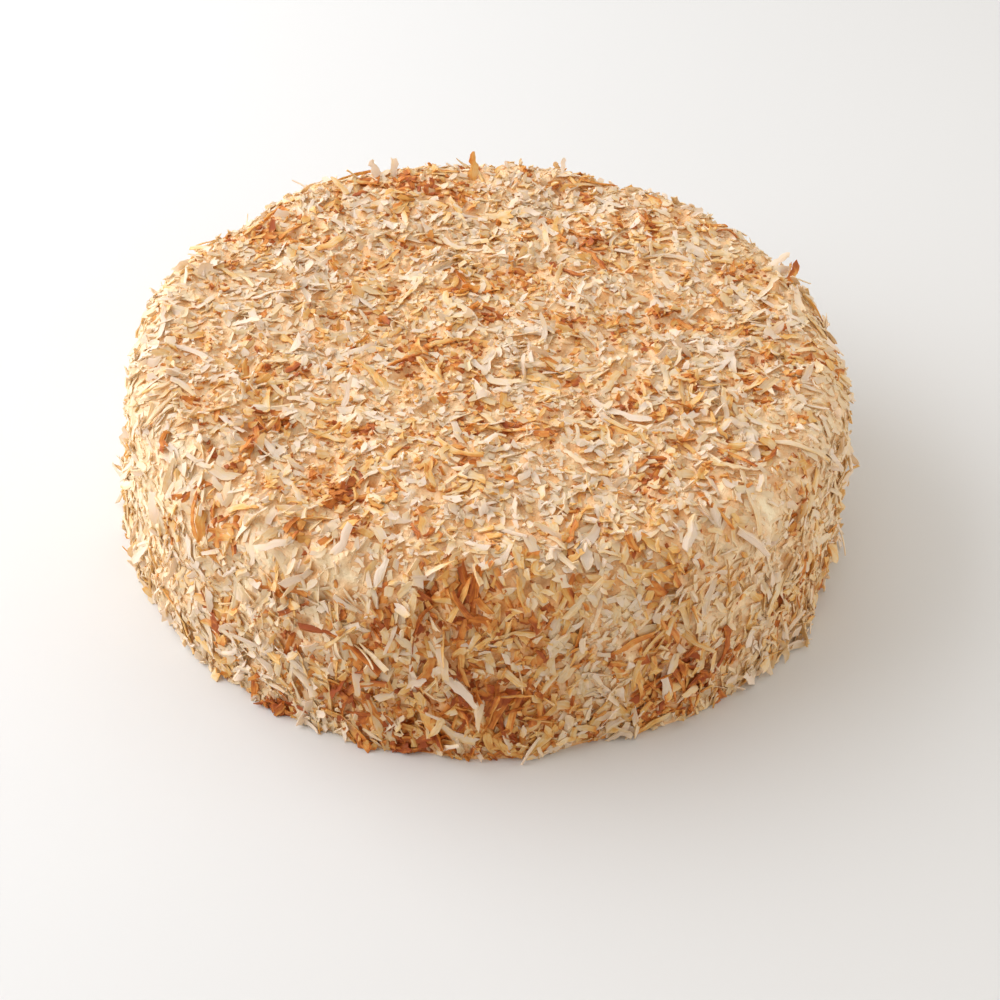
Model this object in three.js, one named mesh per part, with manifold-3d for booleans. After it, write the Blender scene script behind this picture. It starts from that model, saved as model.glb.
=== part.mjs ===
// A whole round layer cake, iced in cream and coated all over with toasted shredded coconut.
// Millimetres, +Z up. The origin is the middle of the flat base, and the cake stands on z = 0.
// The uncut cake is one solid: the body carries the crags of its packed coconut coat, and the
// largest shreds are fused to it, most of them lying in the coat and some standing out of it.
import * as THREE from "three";
import { ImprovedNoise } from "three/addons/math/ImprovedNoise.js";
import { mergeVertices } from "three/addons/utils/BufferGeometryUtils.js";
import Module from "manifold-3d";

// The cake's form, measured over the packed coconut.
const FOOT_RADIUS = 115;
const SHOULDER_RADIUS = 110;
const HEIGHT = 63.5;
const RIM_ROUNDING = 15;
const TOP_CROWN = 1.5;

// The relief of the coat: broad swells of the icing, and crags as wide as a few shreds.
const CELL = 8.2;
const SWELL = { width: 46, height: 1.5, shift: 3.7 };
const CRAG = { width: 9, height: 2.6, shift: 11.3 };
const FEWEST_IN_A_RING = 6;
const FLAT_FOOT_BAND = 4;

// The shreds that are fused on: long bent ones lying in the coat, and shorter ones standing out of it.
const SHRED_COUNT = 350;
const SHRED_WIDTH = [2.2, 3.3];
const SHRED_THICKNESS = [1.0, 1.4];
const LYING = { length: [10, 23], tilt: [2, 10], bends: 2 };
const STANDING = { length: [7, 13], tilt: [16, 44], bends: 1 };
const STANDING_SHARE = 0.3;
const ROOT_DEPTH = 2.2;
const LYING_LIFT = 0.7;
const SHRED_END_WIDTH = 0.6;
const SHORTNESS = 1.5;
const CURL = [-0.07, 0.1];
const SWEEP = [-0.07, 0.07];
const HANGING_SHARE = 0.7;
const HANGING_SPREAD = 55;

const AREA_STEPS = 400;
const WELD_DISTANCE = 1e-4;
const GOLDEN_ANGLE = Math.PI * (3 - Math.sqrt(5));
const SEED = 41;

const noise = new ImprovedNoise();
const random = () => THREE.MathUtils.seededRandom();
const between = ([low, high], share = random()) => low + (high - low) * share;
const degrees = THREE.MathUtils.degToRad;

// The outline of a half section, from the foot up the side, round the rim and in to the axis.
function halfSection() {
  const crownMiddle = HEIGHT + TOP_CROWN;
  const roundCentre = new THREE.Vector2(SHOULDER_RADIUS - RIM_ROUNDING, HEIGHT - RIM_ROUNDING);
  const side = new THREE.LineCurve(
    new THREE.Vector2(FOOT_RADIUS, 0),
    new THREE.Vector2(SHOULDER_RADIUS, roundCentre.y),
  );
  const rim = new THREE.EllipseCurve(
    roundCentre.x, roundCentre.y, RIM_ROUNDING, RIM_ROUNDING, 0, Math.PI / 2,
  );
  const top = new THREE.QuadraticBezierCurve(
    new THREE.Vector2(roundCentre.x, HEIGHT),
    new THREE.Vector2(roundCentre.x / 2, crownMiddle),
    new THREE.Vector2(0, crownMiddle),
  );
  const outline = new THREE.CurvePath();
  outline.add(side);
  outline.add(rim);
  outline.add(top);
  return outline;
}

const section = halfSection();

// A place on the smooth cake: how far along the half section, and at what angle round the axis.
function placeOn(share, angle) {
  const spot = section.getPointAt(THREE.MathUtils.clamp(share, 0, 1));
  const along = section.getTangentAt(THREE.MathUtils.clamp(share, 0, 1));
  const outward = new THREE.Vector3(Math.cos(angle), Math.sin(angle), 0);
  return {
    point: outward.clone().multiplyScalar(spot.x).setZ(spot.y),
    normal: outward.clone().multiplyScalar(along.y).setZ(-along.x).normalize(),
    round: new THREE.Vector3(-Math.sin(angle), Math.cos(angle), 0),
  };
}

// How far the coat stands out at a point: broad swells with crags on them, none right at the foot.
function reliefAt(point) {
  const layer = ({ width, height, shift }) =>
    height * noise.noise(point.x / width + shift, point.y / width, point.z / width);
  const fade = THREE.MathUtils.smoothstep(point.z, 0, FLAT_FOOT_BAND);
  return layer(SWELL) + fade * layer(CRAG);
}

// Rings of points up the section, each as full as its radius asks, and a single point on the axis.
function bodyRings() {
  const stepCount = Math.round(section.getLength() / CELL);
  const rings = [];
  for (let step = 0; step <= stepCount; step++) {
    const share = step / stepCount;
    const radius = section.getPointAt(share).x;
    const wanted = Math.round((2 * Math.PI * radius) / CELL);
    const count = step === stepCount ? 1 : Math.max(FEWEST_IN_A_RING, wanted);
    rings.push(
      Array.from({ length: count }, (_, i) => {
        const angle = (2 * Math.PI * (i + (step % 2) / 2)) / count;
        const { point, normal } = placeOn(share, angle);
        const raised = point.clone().addScaledVector(normal, reliefAt(point));
        return step === 0 ? raised.setZ(0) : raised;
      }),
    );
  }
  return [[new THREE.Vector3(0, 0, 0)], ...rings];
}

// Triangles between two rings that may hold different numbers of points.
function stitch(lower, upper, lowerStart, upperStart, faces) {
  let i = 0;
  let j = 0;
  const lowerCount = lower.length === 1 ? 0 : lower.length;
  const upperCount = upper.length === 1 ? 0 : upper.length;
  while (i < lowerCount || j < upperCount) {
    const here = lowerStart + (i % lower.length);
    const above = upperStart + (j % upper.length);
    const lowerIsNext = j >= upperCount || (i < lowerCount && i / lowerCount <= j / upperCount);
    if (lowerIsNext) {
      faces.push(here, lowerStart + ((i + 1) % lower.length), above);
      i++;
    } else {
      faces.push(here, upperStart + ((j + 1) % upper.length), above);
      j++;
    }
  }
}

function bodyGeometry() {
  const rings = bodyRings();
  const faces = [];
  let start = 0;
  for (let k = 0; k + 1 < rings.length; k++) {
    stitch(rings[k], rings[k + 1], start, start + rings[k].length, faces);
    start += rings[k].length;
  }
  return new THREE.BufferGeometry().setFromPoints(rings.flat()).setIndex(faces);
}

// A flat strip of coconut along x, bent in an arc, with narrowed ends.
function shredGeometry(length, width, thickness, bends, curl, sweep) {
  const strip = new THREE.BoxGeometry(length, width, thickness, bends, 1, 1);
  const spots = strip.getAttribute("position");
  for (let i = 0; i < spots.count; i++) {
    const along = (2 * spots.getX(i)) / length;
    const narrow = THREE.MathUtils.lerp(1, SHRED_END_WIDTH, along * along);
    spots.setY(i, spots.getY(i) * narrow + sweep * length * along * along);
    spots.setZ(i, spots.getZ(i) - curl * length * along * along);
  }
  return strip;
}

// The place of each shred: even by area over the side, the rim and the top, by the golden angle.
function sharesOfEqualArea(count) {
  const area = [0];
  for (let i = 1; i <= AREA_STEPS; i++) {
    area.push(area[i - 1] + section.getPointAt((i - 0.5) / AREA_STEPS).x);
  }
  return Array.from({ length: count }, (_, n) => {
    const wanted = ((n + 0.5) / count) * area[AREA_STEPS];
    return area.findIndex((sum) => sum >= wanted) / AREA_STEPS;
  });
}

// A shred set on the coat: it lies along the surface or stands out of it by its tilt. On the side
// most shreds hang down within a spread, and on the top they lie at every angle.
function placedShred(share, angle) {
  const { point, normal, round } = placeOn(share, angle);
  const kind = random() < STANDING_SHARE ? STANDING : LYING;
  const length = between(kind.length, random() ** SHORTNESS);
  const width = between(SHRED_WIDTH);
  const thickness = between(SHRED_THICKNESS);
  const tilt = degrees(between(kind.tilt));
  const hangs = random() < HANGING_SHARE * (1 - Math.abs(normal.z));
  const turn = hangs ? degrees(90 + between([-HANGING_SPREAD, HANGING_SPREAD])) : between([0, 2 * Math.PI]);
  const upSlope = new THREE.Vector3().crossVectors(normal, round).normalize();
  const heading = round.clone().multiplyScalar(Math.cos(turn)).addScaledVector(upSlope, Math.sin(turn));
  const along = heading.clone().multiplyScalar(Math.cos(tilt)).addScaledVector(normal, Math.sin(tilt));
  const across = new THREE.Vector3().crossVectors(normal, heading).normalize();
  const face = new THREE.Vector3().crossVectors(along, across);
  const rise = kind === STANDING ? (Math.sin(tilt) * length - ROOT_DEPTH) / 2 : thickness / 2 + LYING_LIFT;
  const strip = shredGeometry(length, width, thickness, kind.bends, between(CURL), between(SWEEP));
  return strip.applyMatrix4(
    new THREE.Matrix4()
      .makeBasis(along, across, face)
      .setPosition(point.clone().addScaledVector(normal, reliefAt(point) + rise)),
  );
}

const wasm = await Module();
wasm.setup();

// A closed geometry as a solid that can be joined and cut.
function solidOf(geometry) {
  const bare = geometry.clone();
  bare.deleteAttribute("normal");
  bare.deleteAttribute("uv");
  const merged = mergeVertices(bare, WELD_DISTANCE);
  return new wasm.Manifold(
    new wasm.Mesh({
      numProp: 3,
      vertProperties: new Float32Array(merged.getAttribute("position").array),
      triVerts: new Uint32Array(merged.getIndex().array),
    }),
  );
}

// The largest closed skin of a solid, which leaves out loose scraps and fills sealed hollows.
function outerSkin(solid) {
  const skins = solid.decompose();
  return skins.reduce((best, next) => (next.volume() > best.volume() ? next : best));
}

function geometryOf(solid) {
  const mesh = solid.getMesh();
  const spots = new Float32Array((mesh.vertProperties.length / mesh.numProp) * 3);
  for (let v = 0; v < spots.length / 3; v++) {
    spots.set(mesh.vertProperties.subarray(v * mesh.numProp, v * mesh.numProp + 3), v * 3);
  }
  return new THREE.BufferGeometry()
    .setAttribute("position", new THREE.BufferAttribute(spots, 3))
    .setIndex(new THREE.BufferAttribute(new Uint32Array(mesh.triVerts), 1));
}

// The body with its shreds joined on, cut flat where it stands, and centred on its own footprint.
function cakeGeometry() {
  THREE.MathUtils.seededRandom(SEED);
  const shares = sharesOfEqualArea(SHRED_COUNT);
  const shreds = shares.map((share, n) => solidOf(placedShred(share, n * GOLDEN_ANGLE)));
  const coated = shreds.reduce((whole, shred) => whole.add(shred), solidOf(bodyGeometry()));
  const below = new THREE.BoxGeometry(4 * FOOT_RADIUS, 4 * FOOT_RADIUS, HEIGHT);
  const standing = coated.subtract(solidOf(below.translate(0, 0, -HEIGHT / 2)));
  const geometry = geometryOf(outerSkin(standing));
  geometry.computeBoundingBox();
  const middle = geometry.boundingBox.getCenter(new THREE.Vector3());
  return geometry.translate(-middle.x, -middle.y, 0);
}

const cake = new THREE.Mesh(
  cakeGeometry(),
  new THREE.MeshStandardMaterial({ color: 0xe6c391, roughness: 0.75, metalness: 0 }),
);
cake.name = "cake";
cake.geometry.computeVertexNormals();

const model = new THREE.Group();
model.add(cake);

export default model;
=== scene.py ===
# A whole coconut cake: a cream-iced core under a coat of toasted shredded coconut.
# Metres, +Z up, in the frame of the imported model: the cake stands on z = 0 round the origin.
import functools
import math
from collections import namedtuple

import bpy
import numpy as np
from mathutils import Matrix, Vector


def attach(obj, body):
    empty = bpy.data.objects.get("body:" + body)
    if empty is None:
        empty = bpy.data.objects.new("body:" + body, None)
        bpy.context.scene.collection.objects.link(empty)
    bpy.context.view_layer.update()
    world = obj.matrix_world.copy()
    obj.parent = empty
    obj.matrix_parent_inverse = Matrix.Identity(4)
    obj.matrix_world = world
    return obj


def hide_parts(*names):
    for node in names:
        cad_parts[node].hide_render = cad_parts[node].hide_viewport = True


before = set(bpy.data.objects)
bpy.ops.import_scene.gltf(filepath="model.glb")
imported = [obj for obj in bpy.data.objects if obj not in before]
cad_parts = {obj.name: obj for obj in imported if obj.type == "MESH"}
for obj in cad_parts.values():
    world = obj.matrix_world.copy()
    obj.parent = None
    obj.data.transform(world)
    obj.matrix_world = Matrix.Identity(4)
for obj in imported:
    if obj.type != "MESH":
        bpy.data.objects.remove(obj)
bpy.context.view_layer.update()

bl_info = {
    "name": "Coconut Cake",
    "version": (1, 0, 0),
    "blender": (4, 5, 0),
    "location": "3D View > Sidebar > Cake",
    "description": "Builds an iced cake coated with toasted shredded coconut, and its studio",
    "category": "Add Mesh",
}

CAKE_NODE = "cake"
COCONUT_FINISH = "shredded_coconut"


# ---- What a user can change ----


def kind_of(make, **limits):
    """A short way to make one kind of property from its name, its description and its default."""
    return lambda name, description, default: make(
        name=name, description=description, default=default, **limits
    )


a_length = kind_of(bpy.props.FloatProperty, min=0, unit="LENGTH")
a_range = kind_of(bpy.props.FloatVectorProperty, size=2, min=0, unit="LENGTH")
an_angle = kind_of(bpy.props.FloatProperty, subtype="ANGLE", unit="ROTATION")
a_count = kind_of(bpy.props.IntProperty, min=0)
a_share = kind_of(bpy.props.FloatProperty, min=0, max=1, subtype="FACTOR")
a_colour = kind_of(bpy.props.FloatVectorProperty, size=3, min=0, max=1, subtype="COLOR")


class CakeForm(bpy.types.PropertyGroup):
    """The form of the iced cake, measured over the icing."""

    shoulder_radius: a_length("Shoulder radius", "Radius where the rim meets the side", 0.1090)
    height: a_length("Height", "From the floor to the edge of the top", 0.0628)
    rim_rounding: a_length("Rim rounding", "Radius of the round between top and side", 0.0142)
    crown: a_length("Crown", "How much higher the middle of the top is than its edge", 0.0012)
    flare: an_angle("Flare", "How far the side leans out towards the floor", math.radians(5.6))
    swell_width: a_length("Swell width", "Breadth of the icing's broad unevenness", 0.034)
    swell_height: a_length("Swell height", "Typical height of the broad unevenness", 0.0006)
    dab_width: a_length("Dab width", "Breadth of the small lumps in the icing", 0.0031)
    dab_height: a_length("Dab height", "Typical height of the small lumps", 0.00012)


class CoatSizes(bpy.types.PropertyGroup):
    """How much coconut there is, and how it lies."""

    shred_count: a_count("Shreds", "Number strewn over the icing", 17000)
    shred_length: a_range("Shred length", "Shortest and longest shred", (0.0040, 0.0135))
    shred_width: a_range("Shred width", "Narrowest and widest shred", (0.0012, 0.0035))
    curl_count: a_count("Curls", "Number of long curved shreds", 300)
    curl_length: a_range("Curl length", "Shortest and longest curved shred", (0.0100, 0.0200))
    curl_width: a_range("Curl width", "Narrowest and widest curved shred", (0.0015, 0.0029))
    chip_count: a_count("Chips", "Number of short chips among the shreds", 30000)
    chip_length: a_range("Chip length", "Shortest and longest chip", (0.0020, 0.0050))
    chip_width: a_range("Chip width", "Narrowest and widest chip", (0.0011, 0.0028))
    crumb_count: a_count("Crumbs", "Number of crumbs among the shreds", 18000)
    crumb_length: a_range("Crumb length", "Shortest and longest crumb", (0.0010, 0.0022))
    crumb_width: a_range("Crumb width", "Narrowest and widest crumb", (0.0008, 0.0019))
    thickness: a_range("Thickness", "Thinnest and thickest strip", (0.00024, 0.00055))
    proud: a_range("Proud", "How far the coat stands out of the icing: top, side", (0.0007, 0.0005))
    bare: a_range("Bare", "How far the coat is bare of cream: top, side", (0.00042, 0.00026))
    standing_share: a_share("Standing share", "Strips that stand out of the coat", 0.035)
    hanging_share: a_share("Hanging share", "Strips on the side that hang down", 0.5)
    seed: a_count("Seed", "Another number gives another strewing", 7)


class CakeColours(bpy.types.PropertyGroup):
    """The colours of the icing and of the coconut, from raw to brown, and the painted shade of the icing in
    the coat's hollows.
    """

    icing: a_colour("Icing", "Cream icing", (0.98, 0.825, 0.56))
    # Painted shade: the colour the icing takes in the hollows of the coat, where shade falls.
    crevice: a_colour("Crevice", "Icing stained by the coconut in its hollows", (0.82, 0.38, 0.10))
    raw: a_colour("Raw", "Coconut that has hardly seen the oven", (0.95, 0.84, 0.71))
    ivory: a_colour("Ivory", "Coconut that is just warm in colour", (0.95, 0.785, 0.50))
    gold: a_colour("Gold", "Lightly toasted coconut", (0.91, 0.575, 0.18))
    amber: a_colour("Amber", "Well toasted coconut", (0.78, 0.27, 0.040))
    brown: a_colour("Brown", "The darkest shreds", (0.42, 0.08, 0.012))
    light_within: a_colour("Light within", "Light that comes through coconut", (1.0, 0.71, 0.22))


def plain(group):
    """A property group's values as a named tuple, which a cache can key on."""
    names = list(group.__annotations__)
    values = [getattr(group, name) for name in names]
    settled = [tuple(v) if hasattr(v, "__len__") else v for v in values]
    return namedtuple(type(group).__name__, names)(*settled)


# ---- The skin of the cake ----

TINY = 1e-9
SWELL_SEEDS = (101, 104)
DAB_SEEDS = (102, 103)

SkinSpot = namedtuple("SkinSpot", "point normal bend_down bend_round stretch")


def towards(turn):
    """The unit step on the flat map in the direction of an angle."""
    return np.stack([np.cos(turn), np.sin(turn)], -1)


def skin_lengths(form):
    """How far from the middle of the top the rim starts, the side starts and the floor is met."""
    flat = form.shoulder_radius - form.rim_rounding
    rim = form.rim_rounding * (math.pi / 2 - form.flare)
    side_top = form.height - form.rim_rounding * (1 - math.sin(form.flare))
    return flat, flat + rim, flat + rim + side_top / math.cos(form.flare)


def skin(chart, form):
    """The smooth skin at places on its flat map, where a place is its distance along the skin from
    the middle of the top, in its direction. The half section is a parabola over the top, an arc
    round the rim and a straight line that flares out down the side."""
    distance = np.maximum(np.hypot(chart[..., 0], chart[..., 1]), TINY)
    outward = chart / distance[..., None]
    flat, side_start, _ = skin_lengths(form)
    on_top = distance < flat
    on_side = distance > side_start
    turned = np.clip((distance - flat) / form.rim_rounding, 0, math.pi / 2 - form.flare)
    tilt = np.where(on_top, 2 * form.crown * distance / flat**2, turned)
    down_side = np.maximum(distance - side_start, 0)
    radius = np.where(on_top, distance, flat + form.rim_rounding * np.sin(turned))
    radius = radius + down_side * math.sin(form.flare)
    crowned = form.crown * (1 - np.minimum(distance / flat, 1) ** 2)
    height = form.height + crowned - form.rim_rounding * (1 - np.cos(turned))
    height = height - down_side * math.cos(form.flare)
    point = np.concatenate([outward * radius[..., None], height[..., None]], -1)
    normal = np.concatenate([outward * np.sin(tilt)[..., None], np.cos(tilt)[..., None]], -1)
    bend_down = np.where(on_top | on_side, 0, 1 / form.rim_rounding)
    bend_round = np.sin(tilt) / np.maximum(radius, form.rim_rounding)
    return SkinSpot(point, normal, bend_down, bend_round, distance / np.maximum(radius, TINY))


def waves(points, width, seed, count=28):
    """Smooth random bumps of about a width, with a spread of 1: the sum of plane waves of random
    direction, length and phase."""
    random = np.random.default_rng(seed)
    direction = random.normal(size=(count, 3))
    direction /= np.linalg.norm(direction, axis=1, keepdims=True)
    pitch = math.pi / width * random.uniform(0.6, 1.4, (count, 1))
    phase = random.uniform(0, 2 * math.pi, count)
    return np.sqrt(2 / count) * np.cos(points @ (direction * pitch).T + phase).sum(-1)


def uneven(points, height, width, finer, seeds, count=28):
    """How far an uneven surface stands off: waves of a width, with weaker ones a share as wide."""
    weaker = 0.7 * waves(points, finer * width, seeds[1], count)
    return height * (waves(points, width, seeds[0], count) + weaker)


def swell(point, form):
    """How far the broad unevenness of the icing stands off the smooth skin."""
    return uneven(point, form.swell_height, form.swell_width, 0.4, SWELL_SEEDS)


def by_side(normal, left, front, right):
    """A number at places on the skin that grows as they turn to the left, the front or the right."""
    away = np.maximum(-normal[..., :2], 0)
    return left * away[..., 0] + front * away[..., 1] + right * np.maximum(normal[..., 0], 0)


def by_steepness(chart, form, on_top, on_side):
    """A length at places on the skin, from its value on the flat top to its value on the side."""
    steep = np.linalg.norm(skin(chart, form).normal[..., :2], axis=-1)
    return on_top + (on_side - on_top) * steep


def patched(point, patches, form):
    """The sum of round patches at points: each falls off as a bell from its strength in the middle.
    A patch lies in a direction from the middle of the top, at a distance along the skin."""
    direction, distance, breadth, strength = np.array(patches).T
    middle = skin(distance[:, None] * towards(np.radians(direction)), form).point
    far = np.square(point[..., None, :] - middle).sum(-1)
    return (strength * np.exp(-far / breadth**2)).sum(-1)


# Places where the icing comes up through the coat. Each is its direction in degrees, its distance
# along the skin from the middle of the top, its breadth and its strength: here, how far it rises.
MOUNDS = (
    (249, 0.109, 0.007, 0.00075), (239, 0.112, 0.006, 0.0006), (235, 0.125, 0.0065, 0.0006),
    (246, 0.127, 0.006, 0.0006), (226, 0.115, 0.006, 0.00045), (209, 0.13, 0.009, 0.00045),
    (197, 0.128, 0.008, 0.00045), (318, 0.108, 0.0075, 0.00075), (310, 0.115, 0.007, 0.0006),
    (311, 0.132, 0.008, 0.00052), (304, 0.115, 0.006, 0.00045), (292, 0.135, 0.0065, 0.00052),
    (282, 0.144, 0.006, 0.00045), (345, 0.043, 0.007, 0.00038), (80, 0.128, 0.0085, 0.00045),
    (140, 0.118, 0.008, 0.0006), (20, 0.135, 0.0085, 0.00045),
)

# Places where the coconut is browner, or paler where the strength is below nothing.
TOASTED = (
    (216, 0.078, 0.0055, 1.4), (220, 0.087, 0.005, 1.3), (264, 0.032, 0.006, 1.5),
    (234, 0.062, 0.005, 1.3), (120, 0.054, 0.005, 1.4), (253, 0.009, 0.006, 1.3),
    (2, 0.026, 0.005, 1.2), (331, 0.054, 0.0055, 1.4), (18, 0.075, 0.0045, 1.3),
    (264, 0.071, 0.006, 1.2), (230, 0.11, 0.0045, 2.0), (250, 0.114, 0.0055, 1.5),
    (267, 0.112, 0.0055, 1.2), (242, 0.137, 0.0065, 2.4), (252, 0.148, 0.007, 2.7),
    (240, 0.166, 0.0065, 3.0), (271, 0.143, 0.007, 1.8), (261, 0.164, 0.006, 2.4),
    (298, 0.131, 0.0045, 2.2), (303, 0.149, 0.006, 1.9), (337, 0.158, 0.0075, 2.4),
    (288, 0.162, 0.006, 1.9), (191, 0.079, 0.01, -1.0), (136, 0.062, 0.008, -0.8),
    (284, 0.072, 0.011, -0.9), (40, 0.075, 0.012, -0.7), (243, 0.05, 0.008, -0.6),
    (241, 0.12, 0.006, 1.5), (229, 0.143, 0.0085, 1.6), (90, 0.011, 0.0055, 1.3),
    (261, 0.124, 0.008, -0.9),
)

# How the left side, the front and the right side differ: in toasting, in how far strips near the
# cream are smeared with it, in the cream's colour, and in how far the coat stands bare of it. The
# first three are partly painted light and shade: coconut and cream are paler on the brightly lit
# left side, and browner and darker on the shaded front.
TOAST_AND_PAINTED_LIGHT_BY_SIDE = (-2.0, 0.9, -0.7)
SMEAR_AND_PAINTED_LIGHT_BY_SIDE = (0.4, -0.4, 0.35)
ICING_PAINTED_LIGHT_BY_SIDE = (0.3, -0.4, 0.2)
BARE_BY_SIDE = (-0.0001, 0.00025, -0.00012)


# ---- The draws for every strip ----

GRADES = ("shred", "chip", "crumb", "curl")
SHRED, CHIP, CRUMB, CURL = range(len(GRADES))
MOST_RINGS = 8
FOOT_SPREAD = 0.003
AREA_STEPS = 2000
FINENESS_WIDTH, FINENESS_SEED = 0.009, 203
CLUSTERS = ((0.0045, 201, 0.75), (0.016, 202, 0.5))
SHORTNESS, STANDING_LENGTH = 2.0, 0.45
LENGTH_ON_TOP, LONGER_ON_SIDE = 0.86, 0.42
HANGING_SPREAD = math.radians(38)
SWEEP, HOOKED_SWEEP, HOOKED_SHARE = 0.08, 0.20, 0.05
CHANCE_TOAST = 0.65
BROWNEST_SCORE = 3

Strewn = namedtuple(
    "Strewn",
    "centre heading length width thickness curl sweep roll twist stiff standing tilt wedge ragged"
    " crinkle skew notch cup score grade",
)
Placed = namedtuple("Placed", "direction distance heading length width sweep curl tilt toast")

# Shreds that stand out in the coat by their place, size or colour, in the order of Placed. The
# heading is from straight down the skin, and a tilt of nothing lies in the coat.
PLACED = (
    (268, 0.14, 40, 0.0128, 0.0027, 0.05, 0.02, 6, 0),
    (298, 0.149, 3, 0.0105, 0.0025, 0.02, 0, 5, 0),
    (282, 0.166, 108, 0.017, 0.0024, 0.35, 0.1, 0, 0.05),
    (286, 0.166, 120, 0.011, 0.0024, -0.1, 0.05, 0, 0.1),
    (208, 0.161, 80, 0.013, 0.0024, 0.8, 0.1, 0, 0.35),
    (316, 0.054, 12, 0.02, 0.0027, 0.22, 0.02, 0, 0.1),
    (344, 0.086, 5, 0.011, 0.0017, 0, 0, 5, 0.95),
    (54, 0.042, -94, 0.0135, 0.0021, 0.15, 0.02, 0, 0.97),
    (215, 0.062, 149, 0.0125, 0.003, 0, 0, 0, 0.25),
    (94, 0.094, 0, 0.0076, 0.0034, 0, 0.05, 66, 0.72),
    (128, 0.101, 30, 0.008, 0.0014, 0.2, 0.1, 30, 0.15),
    (123, 0.093, 3, 0.009, 0.0027, 0.05, 0.05, 20, 0.62),
    (120, 0.088, -100, 0.0065, 0.0018, 0.1, -0.2, 0, 0.95),
    (68, 0.098, -60, 0.0125, 0.0016, 0.08, 0.05, 8, 0.8),
    (38, 0.099, -73, 0.008, 0.0017, 0, -0.45, 10, 0.97),
    (26, 0.103, 10, 0.007, 0.0034, 0, 0.1, 62, 0.05),
    (22, 0.104, 60, 0.0085, 0.0026, 0.1, 0.1, 50, 0.9),
    (24, 0.106, 100, 0.007, 0.0023, 0, 0.1, 55, 0.7),
    (210, 0.104, 60, 0.0085, 0.0024, 0.35, -0.2, 8, 0.92),
    (322, 0.091, 3, 0.012, 0.0015, 0, 0, 4, 0.85),
    (310, 0.1, 2, 0.013, 0.0017, 0.05, 0, 4, 0.8),
    (286, 0.101, 5, 0.0064, 0.0036, 0, 0.05, 10, 0.03),
    (114, 0.097, 20, 0.0052, 0.0032, 0, 0.1, 50, 0.2),
    (110, 0.0975, -20, 0.0054, 0.0026, 0, 0.1, 64, 0.2),
    (76, 0.1, 10, 0.0058, 0.0014, 0.1, 0.1, 60, 0.15),
    (154, 0.104, 0, 0.0075, 0.0022, 0.1, 0.05, 18, 0.55),
)


def strewn_places(count, form, random):
    """Places on the skin's flat map, even by the skin's area: the distance comes from the running
    sum of the radius, and the direction is drawn evenly."""
    distance = np.linspace(0, skin_lengths(form)[2] + FOOT_SPREAD, AREA_STEPS)
    radius = skin(np.stack([distance, 0 * distance], -1), form).point[:, 0]
    area = np.cumsum(radius)
    drawn = np.interp(random.uniform(0, area[-1], count), area, distance)
    return drawn[:, None] * towards(random.uniform(0, 2 * math.pi, count))


def of_grades(coat, what):
    """A setting of the coat for each grade of strip."""
    return [getattr(coat, grade + "_" + what) for grade in GRADES]


def drawn_grades(point, coat, random):
    """Curls first, and then shreds, chips and crumbs by how fine the coconut is at each place."""
    fineness = 0.9 * waves(point, FINENESS_WIDTH, FINENESS_SEED) + random.normal(0, 1, len(point))
    grade = np.full(len(point), CURL)
    strewn = np.argsort(fineness[coat.curl_count :]) + coat.curl_count
    grade[strewn] = np.repeat([SHRED, CHIP, CRUMB], of_grades(coat, "count")[:CURL])
    return grade


def drawn_sizes(grade, share, ranges):
    """A size for each strip, at a share of the way from its grade's least to its most."""
    low, high = np.array(ranges).T
    return low[grade] + (high - low)[grade] * share


def strewn_strips(form, coat):
    """The draws for every strip: where it falls, which way it lies, its form and its toasting."""
    random = np.random.default_rng(coat.seed)
    count = sum(of_grades(coat, "count"))
    centre = strewn_places(count, form, random)
    point, normal = skin(centre, form)[:2]
    steep = np.hypot(normal[:, 0], normal[:, 1])
    grade = drawn_grades(point, coat, random)

    standing = (random.uniform(0, 1, count) < coat.standing_share) & (grade != CRUMB)
    share = random.uniform(0, 1, count) ** SHORTNESS * np.where(standing, STANDING_LENGTH, 1)
    length = drawn_sizes(grade, share, of_grades(coat, "length"))
    length = length * (LENGTH_ON_TOP + LONGER_ON_SIDE * steep)
    width = drawn_sizes(grade, random.beta(2.0, 2.0, count), of_grades(coat, "width"))

    hangs = random.uniform(0, 1, count) < coat.hanging_share * steep
    spread = random.normal(0, HANGING_SPREAD, count)
    heading = np.where(hangs, spread, random.uniform(0, math.pi, count))
    heading = heading + math.pi * random.integers(0, 2, count)
    hooked = (grade == CURL) | (random.uniform(0, 1, count) < HOOKED_SHARE)
    sweep = random.normal(0, SWEEP, count) + hooked * random.normal(0, HOOKED_SWEEP, count)

    clusters = sum(share * waves(point, breadth, seed) for breadth, seed, share in CLUSTERS)
    # Paler on the left and right and browner at the front: partly painted light and shade.
    by_place = clusters + by_side(normal, *TOAST_AND_PAINTED_LIGHT_BY_SIDE)
    score = by_place + patched(point, TOASTED, form) + random.normal(0, CHANCE_TOAST, count)
    drawn = Strewn(
        centre, heading, length, width,
        thickness=random.uniform(*coat.thickness, count),
        curl=random.normal(0.02, 0.08, count) * np.where(grade == CRUMB, 0.3, 1),
        sweep=sweep,
        roll=random.normal(0, math.radians(20), count) * np.where(standing, 2, 1),
        twist=random.normal(0, math.radians(16), count),
        stiff=random.uniform(0.05, 0.45, count),
        standing=standing,
        tilt=np.radians(random.uniform(10, 40, count) * (1 - 0.3 * steep)),
        wedge=np.stack([random.uniform(0.8, 1.1, count), random.uniform(0.45, 1.1, count)], -1),
        ragged=random.normal(1, 0.2, (count, MOST_RINGS, 2)),
        crinkle=random.normal(0, 1, (count, MOST_RINGS, 2)),
        skew=random.uniform(-0.5, 0.5, (count, 2)),
        notch=random.uniform(-0.5, 0.6, (count, 2)),
        cup=random.normal(0, 0.25, count),
        score=score,
        grade=grade,
    )
    return with_placed(drawn)


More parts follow.
